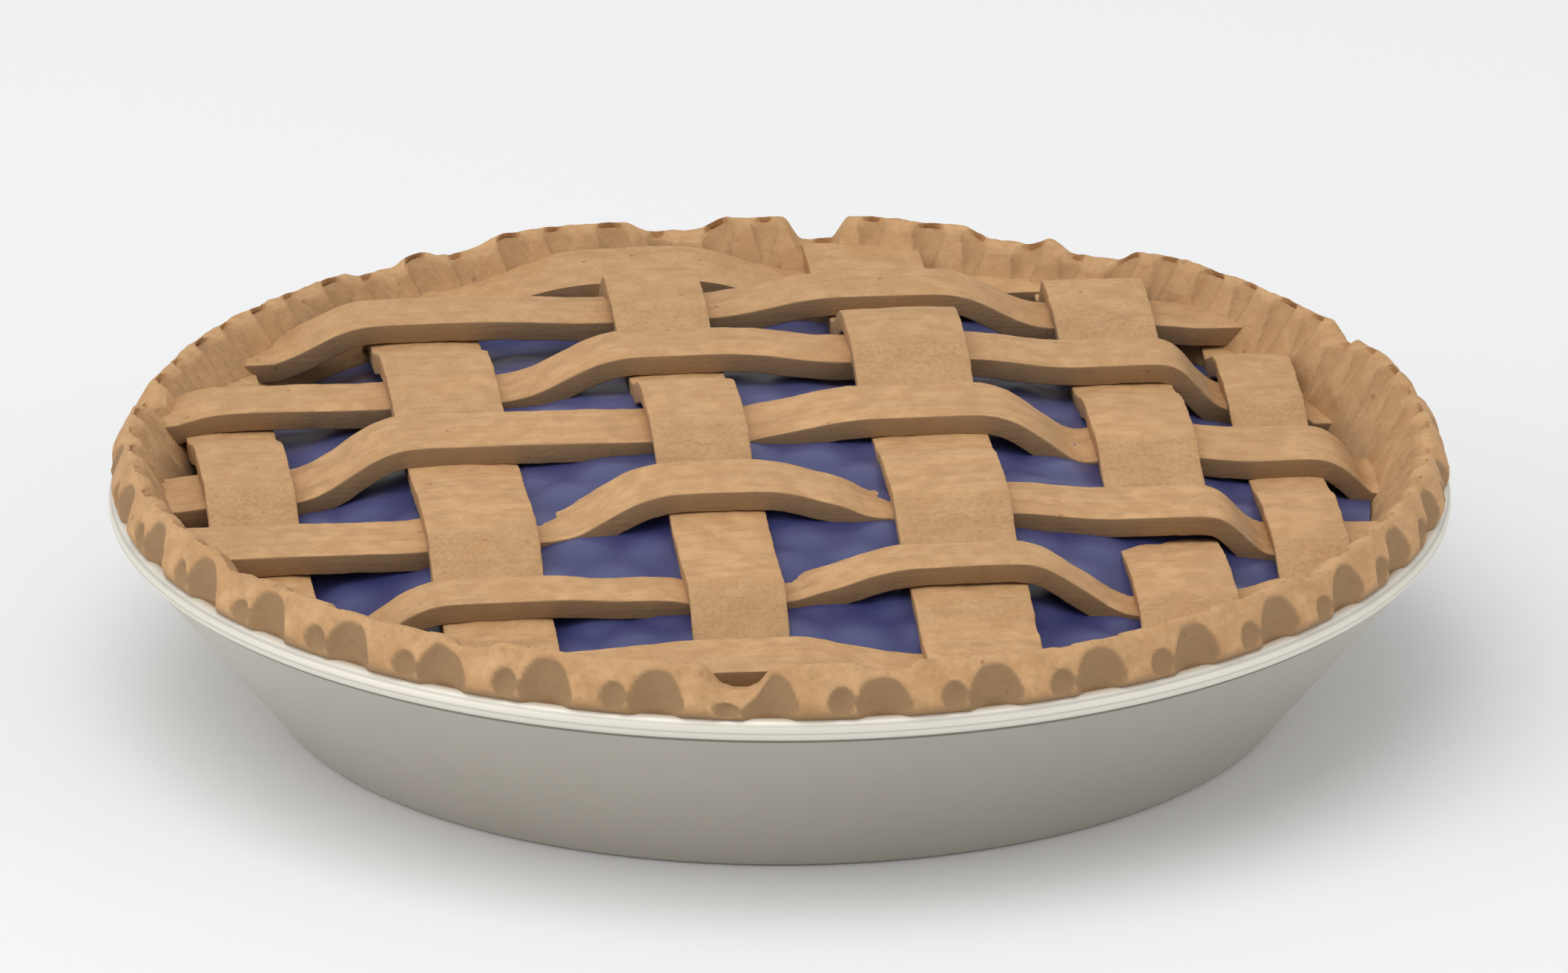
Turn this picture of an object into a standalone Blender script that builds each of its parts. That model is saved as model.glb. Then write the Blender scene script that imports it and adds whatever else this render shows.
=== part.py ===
"""A berry pie with a woven lattice top, in the round metal tin it was baked in.

It can be run with blender --background --python part.py, or from Blender's text editor.
Lengths are in metres and +Z is up. The origin is on the table, under the middle of the tin.
The lattice strips h1 to h7 run left and right, from the back to the front of the pie.
The lattice strips v1 to v6 run front and back, from the left to the right of the pie.
Angles round the pie are clock angles: 0 at the back (+Y), growing towards the right (+X).
"""

import math
import random

import bmesh
import bpy

MM = 0.001
MERGE_DISTANCE = 0.001 * MM
SMOOTH_ANGLE = math.radians(35)
BERRY_SMOOTH_ANGLE = math.radians(60)

# The tin is a standard pie tin, 9 inches across its top inside the rolled rim.
RIM_RADIUS = 120.65 * MM
BASE_RADIUS = 90.6 * MM
BEAD_RADIUS = 2.0 * MM
BEAD_HEIGHT = 36.6 * MM
SHEET = 0.9 * MM
WALL_LEAN = (RIM_RADIUS - BEAD_RADIUS - BASE_RADIUS) / (BEAD_HEIGHT - BEAD_RADIUS)
SHEET_ACROSS = SHEET * math.hypot(1, WALL_LEAN)
BASE_CORNER = 1.2 * MM
TIN_SEGMENTS = 72
BEAD_POINTS = 8
BEAD_START = math.radians(-70)
BEAD_END = math.radians(240)

# Pieces that touch in the real pie stand this far apart.
GAP = 0.4 * MM

# The crust lines the tin, rises over its rim and slopes down inside to the filling.
FILLING_EDGE_RADIUS = 106.5 * MM
FILLING_EDGE_HEIGHT = 34.3 * MM
INNER_EDGE_RADIUS = 114.2 * MM
INNER_EDGE_HEIGHT = 46.2 * MM
CROWN_RADIUS = 116.6 * MM
CROWN_HEIGHT = 47.9 * MM
SHOULDER_RADIUS = 118.4 * MM
SHOULDER_HEIGHT = 45.9 * MM
BROW_RADIUS = 119.6 * MM
BROW_HEIGHT = 43.3 * MM
OUTER_RADIUS = 120.2 * MM
OUTER_HEIGHT = 41.2 * MM
LIP_RADIUS = 119.8 * MM
LIP_HEIGHT = 38.8 * MM
NECK_RADIUS = 115.8 * MM
NECK_HEIGHT = 39.3 * MM
NECK_FOOT_HEIGHT = 33.0 * MM
CRUST_FOOT_RADIUS = 88.2 * MM
CRUST_FOOT_HEIGHT = SHEET + GAP
CRUST_FLOOR_RADIUS = 84.0 * MM
CRUST_FLOOR_HEIGHT = 5.0 * MM
CONE_LEAN = (INNER_EDGE_RADIUS - FILLING_EDGE_RADIUS) / (INNER_EDGE_HEIGHT - FILLING_EDGE_HEIGHT)
# The shares of the way down the inner wall where it has rings of points between its edges.
WALL_STEPS = (0.3, 0.7)

# Thumb and finger pinched the crust in pairs: a broad mark beside a small one.
PINCH_PAIRS = 37
PINCH_PITCH = 360 / PINCH_PAIRS
POINTS_PER_PINCH = 7
BROAD_MARK = {"place": 177.1, "half_width": 2.5, "outside": 2.2 * MM, "inside": 1.7 * MM, "foot": 0.1}
SMALL_MARK = {"place": 180.9, "half_width": 1.3, "outside": 1.6 * MM, "inside": 1.1 * MM, "foot": 0.45}
MARK_ON_SHOULDER = 0.5
MARK_ON_OUTER = 0.7
MARK_ON_CROWN = 0.35

# Where the crust's edge dips: the clock angle, the half width in degrees, and the depth.
EDGE_DIPS = (
    (-33.0, 4.0, 1.4 * MM),
    (-24.0, 4.5, 1.8 * MM),
    (-3.5, 4.8, 2.2 * MM),
    (9.2, 3.0, 4.3 * MM),
    (27.0, 4.5, 2.1 * MM),
    (35.5, 5.0, 2.4 * MM),
    (67.3, 2.6, 2.2 * MM),
    (83.0, 2.0, 1.2 * MM),
    (97.5, 2.2, 1.3 * MM),
    (131.0, 3.0, 1.4 * MM),
    (176.5, 3.2, 1.7 * MM),
    (189.6, 3.3, 4.6 * MM),
    (214.0, 3.0, 1.5 * MM),
    (241.0, 3.4, 1.9 * MM),
    (263.0, 2.4, 1.2 * MM),
    (287.0, 3.0, 1.6 * MM),
)
EDGE_DIP_SHORE = 0.6
# The edge also waves a little: waves round the pie, height, and start in radians.
EDGE_WAVES = ((5, 0.30 * MM, 0.4), (11, 0.22 * MM, 2.1))

# The filling is a low dome, fuller at the front left, with the tops of berries just showing in it.
FILLING_TOP = 49.9 * MM
FILLING_RIM_HEIGHT = 34.4 * MM
FILLING_SPREAD = 86.0 * MM
FILLING_FALL = (FILLING_TOP - FILLING_RIM_HEIGHT) / (
    math.hypot(FILLING_EDGE_RADIUS, FILLING_SPREAD) - FILLING_SPREAD
)
FILLING_TILT_X = -0.0152
FILLING_TILT_Y = -0.0267
FILLING_RINGS = 18
BERRY_PITCH = 13.5 * MM
BERRY_ROW_PITCH = BERRY_PITCH * math.sqrt(0.75)
BERRY_SCATTER = 2.0 * MM
BERRY_VALLEY = 1.4 * MM
BERRY_RADIUS = 7.0 * MM

# Each strip: its name, the place of its middle line, and its width.
ACROSS_STRIPS = (
    ("h1", 100.1 * MM, 18.6 * MM),
    ("h2", 70.6 * MM, 13.8 * MM),
    ("h3", 36.2 * MM, 14.5 * MM),
    ("h4", 0.6 * MM, 17.6 * MM),
    ("h5", -34.4 * MM, 16.7 * MM),
    ("h6", -67.0 * MM, 12.5 * MM),
    ("h7", -97.5 * MM, 16.8 * MM),
)
ALONG_STRIPS = (
    ("v1", -96.5 * MM, 16.1 * MM),
    ("v2", -57.9 * MM, 19.9 * MM),
    ("v3", -15.6 * MM, 17.3 * MM),
    ("v4", 26.3 * MM, 21.0 * MM),
    ("v5", 65.3 * MM, 18.2 * MM),
    ("v6", 90.8 * MM, 13.8 * MM),
)
STRIP_THICKNESS = 3.9 * MM
# A strip that sinks into the filling is cut off this far above it, and is at least so thick there.
STRIP_BED = 0.6 * MM
STRIP_LEAST = 0.5 * MM
STRIP_REACH = 118.0 * MM
FLAT_MARGIN = 0.5 * MM
RISE_STEPS = 3

# The lattice is a dome too, a little higher at the back and on the left.
LATTICE_TOP = 55.0 * MM
LATTICE_SPREAD = 75.0 * MM
LATTICE_FALL = 0.208
LATTICE_TILT_X = -0.009
LATTICE_TILT_Y = 0.016
ALONG_LIFT = -0.6 * MM
ALONG_LIFT_TO_BACK = 0.011

# Hand-laid strips: how much higher or lower than the dome a crossing lies.
CROSSING_LIFTS = {
    ("h1", "v2"): -2.5 * MM,
    ("h1", "v3"): -0.8 * MM,
    ("h1", "v4"): -2.2 * MM,
    ("h2", "v1"): -2.0 * MM,
    ("h2", "v2"): 1.0 * MM,
    ("h2", "v3"): 1.6 * MM,
    ("h2", "v4"): 1.6 * MM,
    ("h2", "v5"): 1.7 * MM,
    ("h3", "v2"): -0.8 * MM,
    ("h3", "v4"): 2.8 * MM,
    ("h3", "v6"): -1.2 * MM,
    ("h4", "v1"): 0.4 * MM,
    ("h4", "v3"): 1.1 * MM,
    ("h4", "v5"): -0.2 * MM,
    ("h4", "v6"): -2.1 * MM,
    ("h5", "v2"): 0.1 * MM,
    ("h5", "v3"): 1.0 * MM,
    ("h5", "v4"): 1.3 * MM,
    ("h5", "v5"): -1.7 * MM,
    ("h5", "v6"): -0.8 * MM,
    ("h6", "v3"): 1.1 * MM,
    ("h6", "v4"): 1.8 * MM,
    ("h7", "v4"): 1.4 * MM,
    ("h7", "v5"): 1.3 * MM,
}

# Two ends that go under where the turn of the weave would have them over.
TUCKED_UNDER = {("h1", "v2"), ("h2", "v1")}

# Strip h7 stops at the side of v2 and doesn't cross it.
NOT_CROSSING = {("h7", "v2")}
H7_START = -47.3 * MM

# Past its last crossing a strip sinks to the foot of the crust's wall, or to a height of its own.
END_FALL = 0.45
END_LOWEST = 39.6 * MM
END_BEND = 0.35
END_HEIGHTS = {
    ("h2", "end"): 42.4 * MM,
    ("h3", "start"): 45.0 * MM,
    ("h3", "end"): 35.8 * MM,
    ("h4", "end"): 35.7 * MM,
    ("h6", "start"): 41.4 * MM,
    ("h7", "start"): 42.2 * MM,
    ("v6", "end"): 36.6 * MM,
}
TRIM_SEGMENTS = 72
TRIM_TOP = 80.0 * MM

SEED = 11


def material(name, colour, roughness, metallic=0.0):
    made = bpy.data.materials.new(name)
    made.use_nodes = True
    shader = made.node_tree.nodes["Principled BSDF"]
    shader.inputs["Base Color"].default_value = (*colour, 1.0)
    shader.inputs["Roughness"].default_value = roughness
    shader.inputs["Metallic"].default_value = metallic
    return made


def clear_scene():
    for old in list(bpy.data.objects):
        bpy.data.objects.remove(old)


def ease(share):
    """Rises from 0 to 1 with a level start and end."""
    share = min(1.0, max(0.0, share))
    return share * share * (3 - 2 * share)


def finish(name, bm, surface, smooth_angle=SMOOTH_ANGLE):
    """Makes an object of the mesh, with its faces pointing out."""
    bmesh.ops.recalc_face_normals(bm, faces=bm.faces)
    mesh = bpy.data.meshes.new(name)
    bm.to_mesh(mesh)
    bm.free()
    mesh.materials.append(surface)
    mesh.shade_smooth()
    mesh.set_sharp_from_angle(angle=smooth_angle)
    made = bpy.data.objects.new(name, mesh)
    bpy.context.scene.collection.objects.link(made)
    return made


def turned(name, profile, segments, surface, relief=None):
    """Turns a profile that starts and ends on the axis. The relief moves each point of it."""
    bm = bmesh.new()
    points = [bm.verts.new((0, radius, height)) for radius, height in profile]
    edges = [bm.edges.new(ends) for ends in zip(points, points[1:])]
    bmesh.ops.spin(
        bm, geom=points + edges, cent=(0, 0, 0), axis=(0, 0, -1), angle=math.tau, steps=segments
    )
    bmesh.ops.remove_doubles(bm, verts=bm.verts, dist=MERGE_DISTANCE)
    if relief:
        for point in bm.verts:
            clock = math.atan2(point.co.x, point.co.y)
            radius = math.hypot(point.co.x, point.co.y)
            radius, point.co.z = relief(radius, point.co.z, clock)
            point.co.x = radius * math.sin(clock)
            point.co.y = radius * math.cos(clock)
    return finish(name, bm, surface)


def tin_wall(height):
    """The radius of the tin's outer face."""
    return BASE_RADIUS + WALL_LEAN * height


def make_tin(surface):
    """A thin sheet pan whose wall ends in a rolled bead."""
    middle = RIM_RADIUS - BEAD_RADIUS
    bead = []
    for step in range(BEAD_POINTS + 1):
        turn = BEAD_START + (BEAD_END - BEAD_START) * step / BEAD_POINTS
        bead.append((middle + BEAD_RADIUS * math.cos(turn), BEAD_HEIGHT + BEAD_RADIUS * math.sin(turn)))
    outside = [
        (0, 0),
        (BASE_RADIUS - BASE_CORNER, 0),
        (tin_wall(BASE_CORNER), BASE_CORNER),
    ]
    inner_corner = BASE_CORNER + SHEET / 2
    inside = [
        (tin_wall(inner_corner) - SHEET_ACROSS, inner_corner),
        (BASE_RADIUS - BASE_CORNER - SHEET, SHEET),
        (0, SHEET),
    ]
    return turned("tin", outside + bead + inside, TIN_SEGMENTS, surface)


def cone_radius(height):
    """The radius of the crust's smooth inner wall."""
    return FILLING_EDGE_RADIUS + CONE_LEAN * (height - FILLING_EDGE_HEIGHT)


def mark_at(clock, mark):
    """How deep a pinch mark is at a clock angle, from 0 beside it to 1 in its middle."""
    offset = (math.degrees(clock) - mark["place"] + PINCH_PITCH / 2) % PINCH_PITCH - PINCH_PITCH / 2
    return max(0.0, 1 - (offset / mark["half_width"]) ** 2)


def edge_drop(clock):
    """How far the crust's edge lies below its usual height at a clock angle."""
    drop = sum(depth * math.sin(count * clock + start) for count, depth, start in EDGE_WAVES)
    for place, half_width, depth in EDGE_DIPS:
        offset = abs((math.degrees(clock) - place + 180) % 360 - 180)
        drop += depth * ease((half_width - offset) / (EDGE_DIP_SHORE * half_width))
    return drop


def crust_relief(radius, height, clock):
    """Lowers the crust's uneven edge and presses the pinch marks into it."""
    if height <= NECK_FOOT_HEIGHT:
        return radius, height
    drop = edge_drop(clock)
    marks = [(mark, mark_at(clock, mark)) for mark in (BROAD_MARK, SMALL_MARK)]
    if radius <= INNER_EDGE_RADIUS + GAP:
        if height <= FILLING_EDGE_HEIGHT:
            return radius, height
        share = (height - FILLING_EDGE_HEIGHT) / (INNER_EDGE_HEIGHT - FILLING_EDGE_HEIGHT)
        height -= drop * share
        radius = cone_radius(height)
        for mark, depth in marks:
            radius += mark["inside"] * depth * ease((share - mark["foot"]) / (1 - mark["foot"]))
        return radius, height
    if height <= NECK_HEIGHT:
        return radius, height
    on_ring = {
        CROWN_HEIGHT: MARK_ON_CROWN,
        SHOULDER_HEIGHT: MARK_ON_SHOULDER,
        BROW_HEIGHT: 1.0,
        OUTER_HEIGHT: MARK_ON_OUTER,
    }
    ring = min(on_ring, key=lambda level: abs(level - height))
    for mark, depth in marks:
        radius -= mark["outside"] * depth * on_ring[ring]
    height -= drop * (height - LIP_HEIGHT) / (CROWN_HEIGHT - LIP_HEIGHT)
    return radius, height


def make_crust(surface):
    """The pastry case, with a thick crimped edge that stands above the tin's rim."""
    profile = [
        (0, CRUST_FOOT_HEIGHT),
        (CRUST_FOOT_RADIUS, CRUST_FOOT_HEIGHT),
        (NECK_RADIUS, NECK_FOOT_HEIGHT),
        (NECK_RADIUS, NECK_HEIGHT),
        (LIP_RADIUS, LIP_HEIGHT),
        (OUTER_RADIUS, OUTER_HEIGHT),
        (BROW_RADIUS, BROW_HEIGHT),
        (SHOULDER_RADIUS, SHOULDER_HEIGHT),
        (CROWN_RADIUS, CROWN_HEIGHT),
        (INNER_EDGE_RADIUS, INNER_EDGE_HEIGHT),
    ]
    for down in WALL_STEPS:
        height = INNER_EDGE_HEIGHT + (FILLING_EDGE_HEIGHT - INNER_EDGE_HEIGHT) * down
        profile.append((cone_radius(height), height))
    profile += [
        (FILLING_EDGE_RADIUS, FILLING_EDGE_HEIGHT),
        (CRUST_FLOOR_RADIUS, CRUST_FLOOR_HEIGHT),
        (0, CRUST_FLOOR_HEIGHT),
    ]
    return turned("crust", profile, PINCH_PAIRS * POINTS_PER_PINCH, surface, crust_relief)


def dome(x, y, top, fall, spread):
    """A height that falls away from the middle, first slowly and then steadily."""
    return top - fall * (math.sqrt(x * x + y * y + spread**2) - spread)


def filling_height(x, y):
    """The filling's dome and its tilt, which fades out towards the crust."""
    inside = max(0.0, 1 - (math.hypot(x, y) / FILLING_EDGE_RADIUS) ** 4)
    tilt = FILLING_TILT_X * x + FILLING_TILT_Y * y
    return dome(x, y, FILLING_TOP, FILLING_FALL, FILLING_SPREAD) + tilt * inside


def berry_places():
    """The berries that show, in uneven rows all over the filling."""
    draw = random.Random(SEED)
    rows = math.ceil(FILLING_EDGE_RADIUS / BERRY_PITCH) + 1
    places = []
    for row in range(-rows, rows + 1):
        for column in range(-rows, rows + 1):
            x = (column + 0.5 * (row % 2)) * BERRY_PITCH
            y = row * BERRY_ROW_PITCH
            x += draw.uniform(-BERRY_SCATTER, BERRY_SCATTER)
            y += draw.uniform(-BERRY_SCATTER, BERRY_SCATTER)
            places.append((x, y))
    return places


def make_filling(surface):
    """The filling fills the case, and its rings of points take the shape of the berry tops."""
    berries = berry_places()
    edge_radius = FILLING_EDGE_RADIUS - GAP

    def top_point(x, y):
        nearest = min(math.hypot(x - bx, y - by) for bx, by in berries)
        valley = BERRY_VALLEY * min(1.0, nearest / BERRY_RADIUS) ** 2
        valley *= ease((edge_radius - math.hypot(x, y)) / BERRY_RADIUS)
        return x, y, filling_height(x, y) - valley

    bm = bmesh.new()
    rings = [[bm.verts.new(top_point(0, 0))]]
    for ring in range(1, FILLING_RINGS + 1):
        radius = edge_radius * ring / FILLING_RINGS
        turns = [math.tau * step / (6 * ring) for step in range(6 * ring)]
        rings.append([bm.verts.new(top_point(radius * math.sin(t), radius * math.cos(t))) for t in turns])
    for ring in range(1, FILLING_RINGS + 1):
        outer, inner = rings[ring], rings[ring - 1]
        for sixth in range(6):
            for step in range(ring):
                start = outer[sixth * ring + step]
                end = outer[(sixth * ring + step + 1) % len(outer)]
                near = inner[(sixth * (ring - 1) + step) % len(inner)]
                bm.faces.new((start, end, near))
                if step < ring - 1:
                    bm.faces.new((near, end, inner[(sixth * (ring - 1) + step + 1) % len(inner)]))
    rim = [edge for edge in bm.edges if edge.is_boundary]
    sides = bmesh.ops.extrude_edge_only(bm, edges=rim)["geom"]
    foot = [item for item in sides if isinstance(item, bmesh.types.BMVert)]
    foot_height = CRUST_FLOOR_HEIGHT + GAP
    foot_radius = CRUST_FLOOR_RADIUS - GAP
    for point in foot:
        scale = foot_radius / math.hypot(point.co.x, point.co.y)
        point.co = (point.co.x * scale, point.co.y * scale, foot_height)
    bmesh.ops.contextual_create(bm, geom=[edge for edge in bm.edges if edge.is_boundary])
    return finish("filling", bm, surface, BERRY_SMOOTH_ANGLE)


def across_is_over(across, along):
    """The weave: strips go over and under in turn."""
    return (int(across[1:]) + int(along[1:])) % 2 == 0 or (across, along) in TUCKED_UNDER


def crossing_top(across, along, x, y):
    """The height of the upper strip's top where two strips cross."""
    height = dome(x, y, LATTICE_TOP, LATTICE_FALL, LATTICE_SPREAD)
    height += LATTICE_TILT_X * x + LATTICE_TILT_Y * y
    if not across_is_over(across, along):
        height += ALONG_LIFT + ALONG_LIFT_TO_BACK * y
    return height + CROSSING_LIFTS.get((across, along), 0.0)


def flats_of(name, place, others):
    """The level stretches of a strip, one at each crossing: start, end, height, and whether it lies over."""
    flats = []
    for other, other_place, other_width in others:
        pair = (name, other) if name.startswith("h") else (other, name)
        if pair in NOT_CROSSING:
            continue
        if name.startswith("h"):
            x, y = other_place, place
        else:
            x, y = place, other_place
        if math.hypot(x, y) - other_width > INNER_EDGE_RADIUS:
            continue
        height = crossing_top(*pair, x, y)
        over = across_is_over(*pair) == name.startswith("h")
        if not over:
            height -= STRIP_THICKNESS + GAP
        half = other_width / 2 + FLAT_MARGIN
        flats.append((other_place - half, other_place + half, height, over))
    return sorted(flats)


def end_stations(name, which, flat_place, flat_height, foot):
    """The places past a strip's last crossing: at the foot of the crust's wall, and beyond it."""
    if flat_place >= foot:
        return [(STRIP_REACH, flat_height, False)]
    fallen = max(END_LOWEST, flat_height - END_FALL * (foot - flat_place))
    height = END_HEIGHTS.get((name, which), min(fallen, flat_height))
    middle = (flat_place + foot) / 2
    bend = flat_height + (height - flat_height) * END_BEND
    return [(middle, bend, False), (foot, height, False), (STRIP_REACH, height, False)]


def stations_of(name, place, flats):
    """The places along a strip where its section stands, its top's height there, and whether it lies over."""
    foot = math.sqrt(FILLING_EDGE_RADIUS**2 - place**2)
    first, last = flats[0], flats[-1]
    start = end_stations(name, "start", -first[0], first[2], foot)
    stations = [(-reach, height, over) for reach, height, over in reversed(start)]
    for flat, following in zip(flats, flats[1:] + [None]):
        stations += [(flat[0], flat[2], flat[3]), (flat[1], flat[2], flat[3])]
        if following:
            for step in range(1, RISE_STEPS + 1):
                share = step / (RISE_STEPS + 1)
                reach = flat[1] + (following[0] - flat[1]) * share
                stations.append((reach, flat[2] + (following[2] - flat[2]) * ease(share), False))
    stations += end_stations(name, "end", last[1], last[2], foot)
    if name == "h7":
        stations = [station for station in stations if station[0] > H7_START]
        stations.insert(0, (H7_START, END_HEIGHTS[name, "start"], False))
    return stations


def make_strip(name, place, width, others, surface, trimmer):
    """One flat strip of pastry, bent over and under the others and trimmed at the crust.

    Its broad faces are all split along the same diagonal, so that two strips fit where they cross.
    """
    bm = bmesh.new()
    sections = []
    for reach, top, over in stations_of(name, place, flats_of(name, place, others)):
        section = []
        for side, upper in ((-1, True), (1, True), (1, False), (-1, False)):
            x, y = reach, place + side * width / 2
            if name.startswith("v"):
                x, y = y, x
            bed = filling_height(x, y) + STRIP_BED
            if over:
                bed += STRIP_LEAST + GAP
            height = max(top, bed + STRIP_LEAST)
            if not upper:
                height = max(height - STRIP_THICKNESS, bed)
            section.append(bm.verts.new((x, y, height)))
        sections.append(section)
    for near, far in zip(sections, sections[1:]):
        for left, right in ((0, 1), (3, 2)):
            bm.faces.new((near[left], near[right], far[right]))
            bm.faces.new((near[left], far[right], far[left]))
        for upper, lower in ((0, 3), (1, 2)):
            bm.faces.new((near[upper], near[lower], far[lower], far[upper]))
    bm.faces.new(sections[0])
    bm.faces.new(sections[-1])
    made = finish("strip_" + name, bm, surface)
    trim = made.modifiers.new("Trim to the crust", "BOOLEAN")
    trim.operation = "INTERSECT"
    trim.object = trimmer
    return made


def make_trimmer():
    """The space inside the crust's wall, which trims the ends of the strips."""
    low = FILLING_EDGE_HEIGHT - GAP
    profile = [
        (0, low),
        (cone_radius(low) - GAP, low),
        (cone_radius(INNER_EDGE_HEIGHT) - GAP, INNER_EDGE_HEIGHT),
        (cone_radius(INNER_EDGE_HEIGHT) - GAP, TRIM_TOP),
        (0, TRIM_TOP),
    ]
    trimmer = turned("trimmer", profile, TRIM_SEGMENTS, None)
    trimmer.hide_render = True
    trimmer.display_type = "WIRE"
    return trimmer


def main():
    clear_scene()
    bpy.context.scene.unit_settings.system = "METRIC"
    metal = material("Satin tin", (0.62, 0.61, 0.58), 0.35, 1.0)
    pastry = material("Baked pastry", (0.604, 0.371, 0.195), 0.75)
    berry_gel = material("Berry filling", (0.065, 0.061, 0.181), 0.3)
    make_tin(metal)
    make_crust(pastry)
    make_filling(berry_gel)
    trimmer = make_trimmer()
    for name, place, width in ACROSS_STRIPS:
        make_strip(name, place, width, ALONG_STRIPS, pastry, trimmer)
    for name, place, width in ALONG_STRIPS:
        make_strip(name, place, width, ACROSS_STRIPS, pastry, trimmer)


main()
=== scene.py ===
"""The looks of a berry pie with a woven lattice top, in the metal tin it was baked in.

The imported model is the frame: every piece here stands where one of its nodes stands.
Lengths are in metres and +Z is up. The origin is under the middle of the tin.
Angles round the pie are clock angles: 0 at the back (+Y), growing towards the right (+X).
"""

import math
import random

import bpy
from bpy.props import FloatProperty, FloatVectorProperty, IntProperty, PointerProperty
from mathutils import Matrix, Vector, noise
from mathutils.bvhtree import BVHTree
from mathutils.kdtree import KDTree


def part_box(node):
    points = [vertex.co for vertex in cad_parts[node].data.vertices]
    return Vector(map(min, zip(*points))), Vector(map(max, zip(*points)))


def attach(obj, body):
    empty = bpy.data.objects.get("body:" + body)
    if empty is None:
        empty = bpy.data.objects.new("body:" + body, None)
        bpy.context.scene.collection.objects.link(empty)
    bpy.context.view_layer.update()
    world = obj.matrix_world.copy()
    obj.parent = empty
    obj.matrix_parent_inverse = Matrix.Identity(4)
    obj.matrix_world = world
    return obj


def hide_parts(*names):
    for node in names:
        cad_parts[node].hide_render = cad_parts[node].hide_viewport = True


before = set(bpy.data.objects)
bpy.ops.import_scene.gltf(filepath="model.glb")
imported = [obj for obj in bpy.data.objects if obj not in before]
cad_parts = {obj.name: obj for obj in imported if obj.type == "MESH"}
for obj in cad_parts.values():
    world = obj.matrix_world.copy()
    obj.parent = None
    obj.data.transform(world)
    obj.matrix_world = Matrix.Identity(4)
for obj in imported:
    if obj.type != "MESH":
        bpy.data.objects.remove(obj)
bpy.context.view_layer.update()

bl_info = {
    "name": "Lattice Berry Pie",
    "version": (1, 0, 0),
    "blender": (4, 5, 0),
    "location": "3D View > Sidebar > Pie",
    "description": "Makes the tin, the crimped crust, the berry filling and the woven lattice of a pie",
    "category": "Add Mesh",
}

MM = 0.001
MERGE_DISTANCE = 0.002 * MM
SMOOTH_ANGLE = math.radians(40)
SEED = 11

# The picture, and where the pie stands in it.
PICTURE_WIDTH = 2114
PICTURE_HEIGHT = 1312
RIM_HALF_WIDTH_PX = 903.2
ORIGIN_PX_X = 1051.3
ORIGIN_PX_Y = 925.1
VIEW_TURN = math.radians(-6)
VIEW_ELEVATION = math.radians(20.37)
LENS_MM = 800
SENSOR_MM = 36
CLIP_END = 20.0

# The tin, from its node. The arc of its bead is in degrees.
TIN_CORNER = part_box("tin")[1]
RIM_RADIUS = TIN_CORNER[0]
BEAD_RADIUS = 2.0 * MM
BEAD_HEIGHT = TIN_CORNER[2] - BEAD_RADIUS
BASE_RADIUS = 90.6 * MM
SHEET = 0.9 * MM
TIN_LEAN = (RIM_RADIUS - BEAD_RADIUS - BASE_RADIUS) / (BEAD_HEIGHT - BEAD_RADIUS)
BASE_CORNER = 2.6 * MM
TIN_SEGMENTS = 288
CORNER_STEPS_OUTSIDE = 6
CORNER_STEPS_INSIDE = 5
BEAD_START = -62
BEAD_END = 236
BEAD_STEPS = 26
BEAD_TUCK_IN = 0.7 * MM
BEAD_TUCK_DOWN = 0.5 * MM

# The crust's rings, as in its node.
FILLING_EDGE_RADIUS = 106.5 * MM
FILLING_EDGE_HEIGHT = 34.3 * MM
INNER_EDGE_RADIUS = 114.5 * MM
INNER_EDGE_HEIGHT = 47.0 * MM
CROWN_RADIUS = 116.9 * MM
CROWN_HEIGHT = 47.9 * MM
SHOULDER_RADIUS = 118.4 * MM
SHOULDER_HEIGHT = 46.3 * MM
BROW_RADIUS = 119.7 * MM
BROW_HEIGHT = 43.7 * MM
OUTER_RADIUS = 120.3 * MM
OUTER_HEIGHT = 41.2 * MM
LIP_RADIUS = 119.1 * MM
LIP_HEIGHT = 38.5 * MM
NECK_RADIUS = 115.8 * MM
NECK_HEIGHT = 39.3 * MM
NECK_FOOT_HEIGHT = 33.0 * MM
CRUST_FOOT_RADIUS = 88.2 * MM
CRUST_FOOT_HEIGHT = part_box("crust")[0][2]
CRUST_FLOOR_RADIUS = 84.0 * MM
CRUST_FLOOR_HEIGHT = 5.0 * MM
CRUST_WALL_STEPS = 22
INNER_FACE_DEPTH = 4.0 * MM
WALL_LEAN = (INNER_EDGE_RADIUS - FILLING_EDGE_RADIUS) / (INNER_EDGE_HEIGHT - FILLING_EDGE_HEIGHT)
FACE_CURVE_STEPS = 5

# Thumb and finger pinched the crust in pairs: a broad mark beside a small one.
PINCH_PAIRS = 37
PINCH_PITCH = 360 / PINCH_PAIRS
POINTS_PER_PINCH = 38
BROAD_OUTSIDE = 177.1
BROAD_CUT_RADIUS = 117.7 * MM
BROAD_FINGER_RADIUS = 5.5 * MM
SMALL_OUTSIDE = 180.75
SMALL_HEIGHT = 41.9 * MM
SMALL_RADIUS = 2.75 * MM
SMALL_DEPTH = 1.4 * MM
SMALL_EDGE_STEEPNESS = 4
BROAD_INSIDE = {"place": 0.28, "half_width": 3.2 * MM, "depth": 2.0 * MM, "foot": 0.08}
SMALL_INSIDE = {"place": 4.67, "half_width": 2.5 * MM, "depth": 1.5 * MM, "foot": 0.42}
GROOVE_SHARPNESS = 3.0
GROOVE_TAPER = 0.8
GROOVE_FULL_AT = 0.8
CREASE_FULL_AT = 0.3
CREASE_WIDTH = 0.65 * MM
GROOVE_HEAD = CROWN_RADIUS - INNER_EDGE_RADIUS
GROOVE_HEAD_LOSS = 0.5
CUT_SOFTNESS = 0.12 * MM
FULL_DENT = 0.35 * MM

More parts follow.
